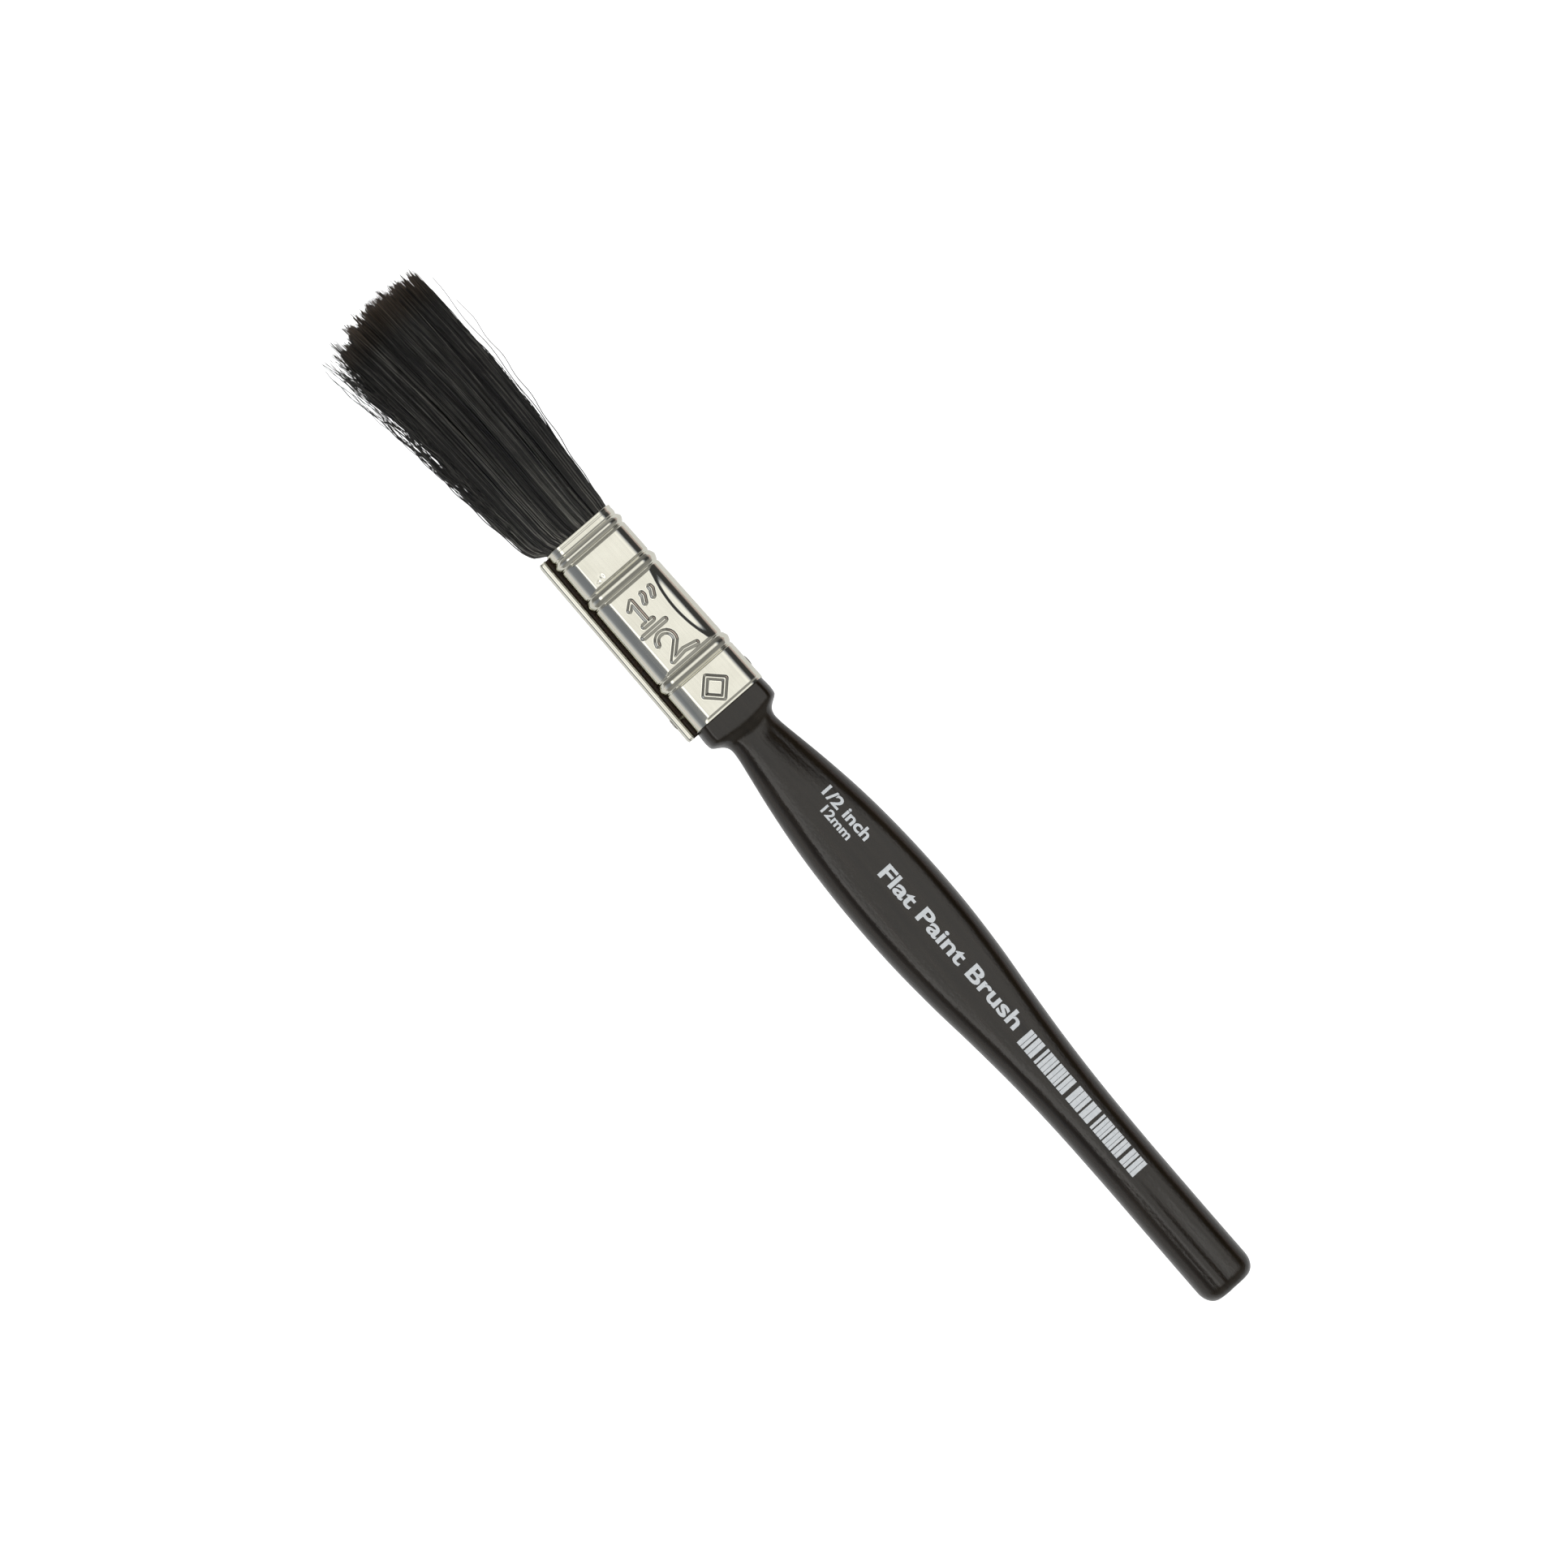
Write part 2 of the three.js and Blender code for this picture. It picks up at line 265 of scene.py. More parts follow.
def crevice_shade_paint():
    """Near-black nickel in the seam's crevice: painted shade, standing in for the dark where little light
    reaches into the fold.
    """
    s = Shader("painted_crevice_shade")
    crevice_mottle = s.noise(1400, 4, 0.6)
    # Painted shade: the crevice's colour is near-black to stand in for the shade inside the seam's fold.
    colour = s.ramp(crevice_mottle, [(0.3, (0.012, 0.007, 0.004)), (0.7, (0.050, 0.026, 0.013))])
    return s.done(Base_Color=colour, Roughness=s.spread(crevice_mottle, 0.5, 0.75), Normal=s.bump(crevice_mottle, 0.00006))


def brad_steel():
    """Drawn steel wire, dull in patches."""
    s = Shader("drawn_wire_steel")
    cloud = s.noise(1800, 3)
    colour = s.ramp(cloud, [(0.3, (0.42, 0.40, 0.37)), (0.7, (0.62, 0.60, 0.56))])
    normal = s.bump(cloud, 0.00002)
    return s.done(Base_Color=colour, Metallic=1.0, Roughness=s.spread(cloud, 0.22, 0.42), Normal=normal)


def filament():
    """Black synthetic filament: strands differ in tone, in streaks too, and many tips turn brown."""
    s = Shader("black_filament")
    strand = s.add("ShaderNodeNewGeometry").outputs["Random Per Island"]
    along = s.add("ShaderNodeSeparateXYZ", {0: s.add("ShaderNodeTexCoord").outputs["Object"]}).outputs[0]
    tone = s.ramp(strand, [(0.0, (0.002, 0.0019, 0.0016)), (0.35, (0.012, 0.0115, 0.0100)),
                           (0.7, (0.046, 0.0442, 0.0390)), (1.0, (0.105, 0.1010, 0.0890))])
    streak = s.spread(s.noise(2800, 3, 0.6, (0.05, 1, 1)), 0.1, 1.8)
    gain = s.spread(along, 2.45, 1.0, (MOUTH_X * MM, (MOUTH_X + 14) * MM))
    shade = s.add("ShaderNodeMath", {0: streak, 1: gain}, operation="MULTIPLY").outputs[0]
    shade = s.add("ShaderNodeCombineColor", {0: shade, 1: shade, 2: shade}).outputs[0]
    tone = s.mix(1.0, tone, shade, "MULTIPLY")
    worn = s.spread(along, 0.0, 1.0, ((TIP_X - 6) * MM, (TIP_X + 0.5) * MM))
    worn = s.add("ShaderNodeMath", {0: worn, 1: strand}, operation="MULTIPLY").outputs[0]
    colour = s.mix(worn, tone, (0.120, 0.078, 0.046, 1))
    return s.done(Base_Color=colour, Roughness=s.spread(strand, 0.32, 0.55, (0, 1)), IOR=1.5)


def cast_resin():
    """Amber casting resin with cloudy mixing swirls and tiny bubbles."""
    s = Shader("amber_resin")
    swirl = s.noise(420, 4)
    colour = s.ramp(swirl, [(0.3, (0.22, 0.11, 0.02)), (0.7, (0.45, 0.28, 0.08))])
    bubbles = s.bump(s.noise(2500), 0.00003)
    return s.done(Base_Color=colour, Roughness=s.spread(swirl, 0.2, 0.4), Normal=bubbles)


def sawn_wood():
    """Plain sawn softwood, its fibres along the brush."""
    s = Shader("sawn_wood")
    fibre = s.noise(1600, 4, 0.6, (0.08, 1, 1))
    colour = s.ramp(fibre, [(0.3, (0.30, 0.17, 0.08)), (0.7, (0.55, 0.37, 0.20))])
    return s.done(Base_Color=colour, Roughness=s.spread(fibre, 0.6, 0.85), Normal=s.bump(fibre, 0.00008))


def white_ink():
    """Pad-printed white ink, a little thin in places."""
    s = Shader("white_print")
    thin = s.noise(1500, 3, 0.6)
    colour = s.ramp(thin, [(0.25, (0.80, 0.84, 0.87)), (0.55, (0.95, 0.98, 1.00))])
    return s.done(Base_Color=colour, Roughness=s.spread(thin, 0.35, 0.5), Normal=s.bump(thin, 0.00001))


def paper_white():
    """Matt studio floor with a faint mottle, burnt out to white where the camera looks straight at it."""
    s = Shader("studio_floor")
    mottle = s.noise(6, 2)
    colour = s.ramp(mottle, [(0.3, (0.91, 0.91, 0.91)), (0.7, (0.94, 0.94, 0.94))])
    seen = s.add("ShaderNodeLightPath").outputs["Is Camera Ray"]
    glow = s.add("ShaderNodeMapRange", {0: seen, 3: 0.2, 4: 1.0}).outputs[0]
    return s.done(Base_Color=colour, Roughness=s.spread(mottle, 0.9, 1.0), Specular_IOR_Level=0.0,
                  Emission_Color=(1, 1, 1, 1), Emission_Strength=glow)


LACQUER, NICKEL, CREVICE_SHADE, WIRE = lacquer(), nickel(), crevice_shade_paint(), brad_steel()
FILAMENT, RESIN, WOOD, INK, PAPER = filament(), cast_resin(), sawn_wood(), white_ink(), paper_white()


# ---- handle ----

SHOULDER_THICK, NECK_THICK = 3.7, 2.8  # half-thicknesses beside the ferrule and at the neck
BUTT_CORNER, BUTT_NARROWING = 2.8, 2.0  # the plan's rounded corners: along the handle, and across it
BUTT_ROUND = 2.2
CROWN_DROP = 0.14  # how far each face's borders drop from its middle
NECK_CROWN, NECK_RIDGE = 0.3, 1.0  # the neck's crown, and how far its ridge lies to the seam side
TAIL_VALLEY, TAIL_ROUND = 0.24, 0.15  # the hollow along the tail's front face, and the drop beside it
# Where across the front face the hollow falls, where it rises again, and where the drop comes.
VALLEY_FALL, VALLEY_RISE, ROUND_OFF = (-1.15, 0.1), (-0.3, 2.5), (1.5, 3.2)
TAIL_START, TAIL_FULL = 84, 108  # the stretch over which both set in, from the ferrule
TAIL_DRIFT = 0.45  # how far the tail's middle has warped to the seam side
HANDLE_STEP = 0.25
# Half-widths by distance behind the ferrule: shoulder block, neck, belly and tail.
PLAN = [(0, 6.6), (2.8, 6.62), (3.3, 6.5), (3.65, 6.05), (4.1, 5.3), (4.6, 4.75), (5.6, 4.36), (6.6, 4.38),
        (8.1, 4.57), (9.6, 4.83), (16, 5.9), (24, 6.93), (32, 7.5), (39.5, 7.7), (47, 7.6), (55, 7.12),
        (64.4, 6.2), (72, 5.57), (81, 5.1), (92, 4.88), (104, 4.85), (115.4, 4.86)]
# Widths of the rounded edge beside each face.
EDGES = [(0, 1.6), (3, 1.6), (7, 2.1), (39.5, 2.5), (80, 2.45), (118, 2.4)]


def plan_half_width(u):
    past = np.clip((u - (HANDLE_OUT - BUTT_CORNER)) / BUTT_CORNER, 0, 1)
    return hermite(PLAN, u) - BUTT_NARROWING * (1 - np.sqrt(1 - past**2))


def drift(u):
    """How far the handle's middle lies to the seam side."""
    return TAIL_DRIFT * smoothstep(u, 45, 120)


def face_border(u):
    """Half the width of a flat face."""
    half = plan_half_width(u)
    return half - np.minimum(hermite(EDGES, u), half * 0.6)


def face_height(u, y, front=True):
    """How far a face stands from the middle plane: thin at the neck, crowned, rounded at the butt."""
    q = (y / face_border(u)) ** 2
    neck = lerp(SHOULDER_THICK, NECK_THICK, smoothstep(u + 0.5 * q, 3.1, 5.8))
    board = lerp(neck, TOP_Z / 2, smoothstep(u, 6, 24))
    off = ((y - NECK_RIDGE) / face_border(u)) ** 2
    crown = lerp(NECK_CROWN * off, CROWN_DROP * q**2, smoothstep(u, 12, 30)) * smoothstep(u, 5, 8)
    past = np.clip(u - (HANDLE_OUT - BUTT_ROUND), 0, BUTT_ROUND)
    rounded = BUTT_ROUND - np.sqrt(BUTT_ROUND**2 - past**2)
    if not front:
        return board - crown - rounded
    # The hollow drops steeply and rises gently to the plain side; the seam side is rounded off.
    hollow = TAIL_VALLEY * (smoothstep(-y, *VALLEY_FALL) - smoothstep(-y, *VALLEY_RISE))
    hollow = hollow + TAIL_ROUND * smoothstep(y, *ROUND_OFF)
    return board - crown - rounded - hollow * smoothstep(u, TAIL_START, TAIL_FULL)


def rounded_ring(border, edge, top, bottom):
    """Ring of (y, z) anticlockwise seen from the tips: two faces joined by half-ellipse edges."""
    side = np.linspace(-np.pi / 2, np.pi / 2, 25)[1:-1]
    out, rise = border + edge * np.cos(side), np.sin(side)
    face = np.linspace(1, -1, 49) * border

    def up(y, share):
        return share * np.where(share > 0, top(y), bottom(y))

    seam_edge = (out, up(np.full(len(side), border), rise))
    plain_edge = (-out, up(np.full(len(side), -border), -rise))
    runs = [seam_edge, (face, top(face)), plain_edge, (-face, -bottom(-face))]
    return np.vstack([np.column_stack(run) for run in runs])


def handle_ring(u):
    border = face_border(u)
    edge = plan_half_width(u) - border
    ring = rounded_ring(border, edge, lambda y: face_height(u, y), lambda y: face_height(u, y, False))
    return ring + [drift(u), 0]


TENON_EDGE = 2.2
TENON_FIT, TENON_CHAMFER = 0.05, 0.4


def tenon_ring(x, inset):
    """The tenon follows the ferrule's bore."""
    half = ferrule_half(MOUTH_X - x) - WALL - inset
    thick = THICK - WALL - inset

    def flat(y):
        return np.full(len(y), thick)

    return rounded_ring(half - TENON_EDGE, TENON_EDGE, flat, flat)


def stood(x, ring):
    """A ring of (y, z) about the middle, stood at X."""
    return np.column_stack([np.full(len(ring), x), ring[:, 0], ring[:, 1] + MID_Z])


def make_handle():
    corner = HANDLE_OUT - BUTT_CORNER
    turn = np.sin(np.linspace(0, np.pi / 2, 18)[1:])
    u = np.concatenate([np.arange(0, corner, HANDLE_STEP), corner + BUTT_CORNER * turn])[::-1]
    sections = np.array([handle_ring(a) for a in u])
    sections = blur(blur(sections, 1.0, 1, True), 0.6, 0, False)
    rings = [stood(HEEL_X - a, s) for a, s in zip(u, sections)]
    for x, inset in ((HEEL_X, TENON_FIT), (TENON_X - 0.6, TENON_FIT), (TENON_X, TENON_CHAMFER)):
        rings.append(stood(x, tenon_ring(x, inset)))
    piece = ring_object("lacquered_handle", rings, LACQUER)
    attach(piece, BODY)
    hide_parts("handle")


# ---- ferrule ----

MOUTH_HALF, HEEL_HALF, THICK = 6.3, 6.7, 3.7
CORNER = 2.5
WALL = 0.35
BEADS = [(2.42, 1.7), (10.15, 2.1), (27.05, 2.1)]  # middle, as distance from the mouth, and width
BEAD_HEIGHT = 0.3
CREASE = 0.15  # depth of the sharp line at each side of a bead
PANELS = [(3.7, 8.8, 0.0), (11.6, 25.6, 1.25), (28.4, 34.9, 0.0)]  # start, end and inward sweep of one side
PANEL_SEAM, PANEL_PLAIN, PANEL_HEIGHT = 4.6, 4.55, 0.19  # how far the panels reach to each side
BEYOND = 9.0  # a distance outside the ferrule: the short panels run on round its corner
STROKE = 0.58  # half the width of an embossed line
EMBOSS = 0.32
DENT = 0.1
PANEL_SLOPE = 0.15  # half the length of the step at each end of a panel
FRONT_POINTS, BACK_POINTS, CORNER_POINTS = 101, 41, 12  # mesh points across each face and round a corner
FINE_STEP, COARSE_STEP = 0.055, 0.13  # ring spacing beside the beads, and elsewhere
LIP_BULGE, HEEL_BULGE = 0.12, 0.05  # how far the rounded edge stands out at each end


def arc_points(centre, radii, start, end, count=9):
    a = np.radians(np.linspace(start, end, count))
    return np.column_stack([centre[0] + radii[0] * np.cos(a), centre[1] + radii[1] * np.sin(a)])


def embossed_strokes():
    """Centre lines of the raised size mark, one over two inches, and of a plain diamond.

    Each point is (across, from the mouth).
    """
    one = [[(-2.3, 14.5), (-1.2, 13.6), (-1.2, 17.6)], [(-2.2, 17.75), (-0.4, 17.75)]]
    bar = [[(-3.3, 19.05), (1.0, 19.05)]]
    hook = arc_points((-1.05, 21.65), (1.45, 1.45), 190, 390, 11)
    two = [np.vstack([hook, [(-2.3, 24.7), (0.2, 24.4), (2.3, 24.9)]])]
    inches = [[(x, 13.7), (x + 0.05, 14.1), (x - 0.5, 15.1)] for x in (0.85, 2.5)]
    diamond = [[(-0.1, 29.8), (2.0, 31.9), (-0.1, 34.0), (-2.2, 31.9), (-0.1, 29.8)]]
    return [np.array(s, float) for s in one + bar + two + inches + diamond]


def stroke_distance(across, down):
    """Distance from each grid point to the nearest stroke."""
    nearest = np.full(across.shape, BEYOND)
    for stroke in embossed_strokes():
        for (ax, ay), (bx, by) in zip(stroke[:-1], stroke[1:]):
            dx, dy = bx - ax, by - ay
            t = np.clip(((across - ax) * dx + (down - ay) * dy) / (dx * dx + dy * dy), 0, 1)
            nearest = np.minimum(nearest, np.hypot(across - ax - t * dx, down - ay - t * dy))
    return nearest


def dome(distance, reach):
    """1 at no distance, falling smoothly to 0 at the reach."""
    return 0.5 + 0.5 * np.cos(np.pi * np.clip(distance / reach, 0, 1))


def groove(distance, width):
    return np.exp(-((distance / width) ** 2))


def bead_relief(down):
    height = -0.06 * groove(down - 0.5, 0.16)
    for middle, width in BEADS:
        off = np.abs(down - middle)
        height = height + BEAD_HEIGHT * dome(off, width / 2) - CREASE * groove(off - width / 2, 0.17)
    return height


def panel_relief(across, down):
    """Raised panels between the beads. The long one is swept in on its plain side, leaving a lower lens."""
    height = np.zeros_like(down)
    for start, end, sweep in PANELS:
        share = np.clip((down - start) / (end - start), 0, 1)
        plain = PANEL_PLAIN - sweep * np.sin(np.pi * share) ** 0.8 if sweep else BEYOND
        begun = smoothstep(down, start - PANEL_SLOPE, start + PANEL_SLOPE)
        inside = begun * (1 - smoothstep(down, end - PANEL_SLOPE, end + PANEL_SLOPE))
        inside = inside * smoothstep(across, -PANEL_SEAM - 0.15, -PANEL_SEAM + 1.0)
        height += PANEL_HEIGHT * inside * (1 - smoothstep(across, plain - 0.33, plain + 0.33))
    return height


def dents(across, down):
    """Two handling dings low in the first panel."""
    first = np.hypot((across + 2.9) / 0.4, (down - 8.1) / 0.25)
    second = np.hypot((across + 2.0) / 0.3, (down - 7.8) / 0.4)
    return -DENT * (groove(first, 1) + groove(second, 1))


def ferrule_half(down):
    return lerp(MOUTH_HALF, HEEL_HALF, down / FERRULE_LENGTH)


def ferrule_section(d):
    """Rounded-rectangle section at a distance from the mouth: points and outward normals.

    It runs anticlockwise seen from the tips.
    """
    half, thick, corner = ferrule_half(d), THICK, CORNER
    face = np.linspace(1, -1, FRONT_POINTS)
    rear = np.linspace(-1, 1, BACK_POINTS)
    turn = np.linspace(0, np.pi / 2, CORNER_POINTS + 2)[1:-1]
    flat, tall = half - corner, thick - corner
    ends = np.linspace(-1, 1, 5)
    cos, sin = np.cos(turn), np.sin(turn)
    zero, one = np.zeros_like, np.ones_like
    runs = [
        (flat + corner * sin, -tall - corner * cos, sin, -cos),
        (one(ends) * half, ends * tall, one(ends), zero(ends)),
        (flat + corner * cos, tall + corner * sin, cos, sin),
        (face * flat, one(face) * thick, zero(face), one(face)),
        (-flat - corner * sin, tall + corner * cos, -sin, cos),
        (-one(ends) * half, -ends * tall, -one(ends), zero(ends)),
        (-flat - corner * cos, -tall - corner * sin, -cos, -sin),
        (rear * flat, -one(rear) * thick, zero(rear), -one(rear)),
    ]
    points = np.vstack([np.column_stack([y, z]) for y, z, _, _ in runs])
    normals = np.vstack([np.column_stack([a, b]) for _, _, a, b in runs])
    return points, normals


def ferrule_stations():
    """Distances from the mouth at which the ferrule's rings stand: close together beside the beads."""
    stations, d = [0.0], 0.0
    while d < FERRULE_LENGTH:
        near = any(abs(d - middle) < width / 2 + 0.4 for middle, width in BEADS) or d < 0.8
        d += FINE_STEP if near else COARSE_STEP
        stations.append(min(d, FERRULE_LENGTH))
    return np.array(stations[::-1])


def ferrule_relief(points, normals, d):
    """How far the pressed metal stands out at each point of the ring at a distance from the mouth."""
    # Seen with the tips up, the plain side is on the right, so that's where "across" is positive.
    across = -points[:, 0]
    down = np.full(len(across), d)
    faces = smoothstep(np.abs(normals[:, 1]), 0.1, 0.9)
    front = smoothstep(normals[:, 1], 0.05, 0.3)
    marks = EMBOSS * dome(stroke_distance(across, down), STROKE) + dents(across, down)
    return bead_relief(down) + panel_relief(across, down) * faces + marks * front


def ferrule_rings():
    """The outside from the heel to the mouth, round the lip, the bore back to the heel, and round it."""
    rings = []
    for d in ferrule_stations():
        points, normals = ferrule_section(d)
        height = ferrule_relief(points, normals, d)
        rings.append(stood(MOUTH_X - d, points + normals * height[:, None]))

    def inside(d, depth, x):
        points, normals = ferrule_section(d)
        return stood(x, points - normals * depth)

    lip = np.radians(np.linspace(15, 165, 6))
    for a in lip:
        rings.append(inside(0, WALL / 2 * (1 - math.cos(a)), MOUTH_X + LIP_BULGE * math.sin(a)))
    for d in np.linspace(0, FERRULE_LENGTH, 9):
        rings.append(inside(d, WALL, MOUTH_X - d))
    for a in lip:
        depth = WALL / 2 * (1 + math.cos(a))
        rings.append(inside(FERRULE_LENGTH, depth, HEEL_X - HEEL_BULGE * math.sin(a)))
    return rings


def make_ferrule():
    rings = ferrule_rings()
    faces = grid_faces(len(rings), len(rings[0]), wrap_rows=True)
    piece = make_object("pressed_ferrule", np.concatenate(rings), faces, NICKEL)
    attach(piece, BODY)
    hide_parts("ferrule")


# The seam's strip: its two faces, measured out from the ferrule's side, and half its height.
SEAM_NEAR, SEAM_FAR, SEAM_HALF = 0.64, 1.75, 1.75
SEAM_BEND = 0.38  # radius of its rounded edges
FOLD_LOW, FOLD_HIGH, FOLD_ROOT = -1.1, 0.2, -0.25  # the dark fold that joins the strip to the side


def seam_bar(name, outline, material):
    """A bar along the ferrule's seam side, its ends eased in.

    Its outline is (out from the side, height).
    """
    section = np.array(outline)
    start, stop = HEEL_X - 0.3, MOUTH_X - 0.1
    ease = 0.5 - 0.5 * np.cos(np.linspace(0, np.pi, 73))
    rings = []
    for x in lerp(start, stop, ease):
        pull = 0.12 * (1 - smoothstep(min(x - start, stop - x), 0, 0.5))
        y = ferrule_half(MOUTH_X - x) + section[:, 0] - pull * (section[:, 0] > SEAM_NEAR)
        rings.append(stood(x, np.column_stack([y, section[:, 1] * (1 - pull * 0.5)])))
    piece = ring_object(name, rings, material)
    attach(piece, BODY)


def make_seam():
    """The lock seam: a folded strip that stands off the narrow side, with a fold line down its face."""
    near, far, half, bend = SEAM_NEAR, SEAM_FAR, SEAM_HALF, SEAM_BEND

    def corner(out, z, start, end):
        return [tuple(p) for p in arc_points((out, z), (bend, bend), start, end, 6)]

    outline = corner(near + bend, -half + bend, 180, 270) + corner(far - bend, -half + bend, 270, 360)
    outline += [(far, 0.25), (far - 0.1, 0.4), (far - 0.1, 0.5)]
    outline += corner(far - bend, half - bend, 0, 90) + corner(near + bend, half - bend, 90, 180)
    seam_bar("ferrule_lock_seam", outline, NICKEL)
    into = near + 0.1
    middle = lerp(FOLD_LOW, FOLD_HIGH, 0.5)
    fold = [(FOLD_ROOT, FOLD_LOW), (into, FOLD_LOW), (into, middle)]
    fold += [(into, FOLD_HIGH), (FOLD_ROOT, FOLD_HIGH), (FOLD_ROOT, middle)]
    # The fold piece is coloured near-black as painted shade in the crevice between the strip and the side.
    seam_bar("ferrule_seam_fold", fold, CREVICE_SHADE)


BRAD_SHANK, BRAD_HEAD_HEIGHT = 0.45, 0.2  # radius, and height


def make_brads():
    for node, name in (("seam_side_brad", "seam_brad"), ("plain_side_brad", "plain_brad")):
        low, high = node_box(node)
        side = 1 if low[1] > 0 else -1
        tip, crown = (low[1], high[1]) if side > 0 else (high[1], low[1])
        shank, head = BRAD_SHANK, (high[0] - low[0]) / 2
        seat = crown - side * BRAD_HEAD_HEIGHT
        profile = [(0.02, tip), (0.25, tip + side * 0.55), (shank, tip + side * 1.3)]
        profile += [(shank, seat - side * 0.05)]
        profile += [(head * 0.96, seat), (head, seat + side * 0.05), (head * 0.93, seat + side * 0.12)]
        profile += [(head * 0.6, crown - side * 0.02), (head * 0.3, crown), (0.05, crown)]
        turns = np.linspace(0, 2 * np.pi, 41)[:-1]
        centre = (low[0] + high[0]) / 2
        # Seen from its last ring, each ring runs anticlockwise.
        rings = [np.column_stack([centre + side * r * np.sin(turns), np.full(len(turns), y),
                                  MID_Z + r * np.cos(turns)]) for r, y in profile]
        piece = ring_object(name, rings, WIRE)
        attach(piece, BODY)
        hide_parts(node)


# ---- filaments ----

# The pack's half-thickness in the bore, past the mouth, and at the tips.
BORE_THICK, FULL_THICK, TIP_THICK = 3.24, 3.3, 2.3
CROWN = 2.5  # how far the middle of the tips stands past their ends
FILAMENT_SIDES = 4
PACK_COUNT, CLUMPS = 1350, 130  # filaments in each pack, and the clumps that they gather into
PACK_PLACES, STRAY_PLACES = 11, 46  # places along a filament past the mouth
EVEN_STEPS = (0.7548776662, 0.5698402910)  # 1/p and 1/p**2 of the plastic ratio p fill a square evenly
ROOT_RADIUS, TIP_RADIUS = 0.088, 0.045
WAVE = 0.2  # half the width of a stray filament's waves
# The pack's half-width, and how far its middle has swept to the seam side, by distance from the mouth.
PACK_HALF = [(-1, 5.75), (0, 5.8), (1.5, 6.35), (5, 6.65), (10, 6.95), (17.5, 7.35), (25, 7.65),
             (33, 7.95), (47, 8.5)]
SWEEP = [(-1, 0), (0, 0.02), (1.5, 0.3), (7, 0.4), (19, 0.2), (28, 0.25), (36, 0.6), (47, 1.2)]


def pack_shape(x):
    """Middle, half-width, half-thickness and half the hollow in the middle at X."""
    out = x - MOUTH_X
    t = np.clip(out / BRISTLE_OUT, 0, 1)
    middle = hermite(SWEEP, np.clip(out, -1, 47))
    width = hermite(PACK_HALF, np.clip(out, -1, 47))
    thick = lerp(lerp(BORE_THICK, FULL_THICK, np.clip(t * 4, 0, 1)), TIP_THICK, smoothstep(t, 0.3, 1.1))
    hollow = lerp(SPACER_HALF + 0.12, 0.05, smoothstep(x, SPACER_END_X, MOUTH_X - 0.8))
    return middle, width, thick, hollow


def tubes(name, paths, radii):
    """One mesh of thin tapering tubes along many paths: an array of paths, places and coordinates."""
    count, places, _ = paths.shape
    forward = np.gradient(paths, axis=1)
    forward /= np.linalg.norm(forward, axis=2, keepdims=True)
    side = np.cross(forward, np.array([0, 0, 1.0]))
    side /= np.linalg.norm(side, axis=2, keepdims=True)
    up = np.cross(side, forward)
    turns = np.linspace(0, 2 * np.pi, FILAMENT_SIDES + 1)[:-1]
    spin = rng.uniform(0, np.pi, (count, 1, 1, 1))
    angle = turns[None, None, :, None] + spin
    r = radii[:, :, None, None]
    around = np.cos(angle) * side[:, :, None, :] - np.sin(angle) * up[:, :, None, :]
    points = paths[:, :, None, :] - r * around
    ring = places * FILAMENT_SIDES
    one = grid_faces(places, FILAMENT_SIDES)
    one += [tuple(range(FILAMENT_SIDES))[::-1], tuple(range(ring - FILAMENT_SIDES, ring))]
    faces = [tuple(v + k * ring for v in face) for k in range(count) for face in one]
    return make_object(name, points.reshape(-1, 3), faces, FILAMENT)


def spread_points(count):
    """Evenly scattered pairs of numbers from 0 to 1, each nudged at random."""
    k = np.arange(count)
    a = (0.5 + k * EVEN_STEPS[0]) % 1
    b = (0.5 + k * EVEN_STEPS[1]) % 1
    nudge = 0.35 / math.sqrt(count)
    return np.clip(a + rng.normal(0, nudge, count), 0, 1), np.clip(b + rng.normal(0, nudge, count), 0, 1)


def place_along(x, across, depth, side):
    """Where filaments with those shares of the width and thickness pass at X."""
    middle, width, thick, hollow = pack_shape(x)
    outer = thick * (1 - np.minimum(np.abs(across), 1) ** 4.5) ** 0.4
    outer = np.maximum(outer, hollow + 0.1)
    return middle + across * width, side * lerp(hollow, outer, depth)


INNER_PLACES = 3  # places along each filament inside the ferrule
MOUTH_INSET = 0.1  # how far inside the mouth the last of them is
PLACES_CLOSER = 1.4  # above 1, the places past the mouth stand closer together near it


def walk(path, lengths, where):
    """Fills paths: straight inside the ferrule, then where(x, share of the way out) in the open.

    Returns the radius at each place.
    """
    count, places, _ = path.shape
    inner = np.linspace(ROOT_X, MOUTH_X - MOUTH_INSET, INNER_PLACES)
    shares = np.linspace(0, 1, places - INNER_PLACES + 1)[1:] ** PLACES_CLOSER
    for i, x in enumerate(inner):
        y, z = where(np.full(count, x), 0.0)
        path[:, i] = np.column_stack([np.full(count, x), y, z + MID_Z])
    for i, share in enumerate(shares, INNER_PLACES):
        x = MOUTH_X + share * lengths
        y, z = where(x, share)
        path[:, i] = np.column_stack([x, y, z + MID_Z])
    return np.concatenate([np.full(INNER_PLACES, ROOT_RADIUS), lerp(ROOT_RADIUS, TIP_RADIUS, shares**1.5)])


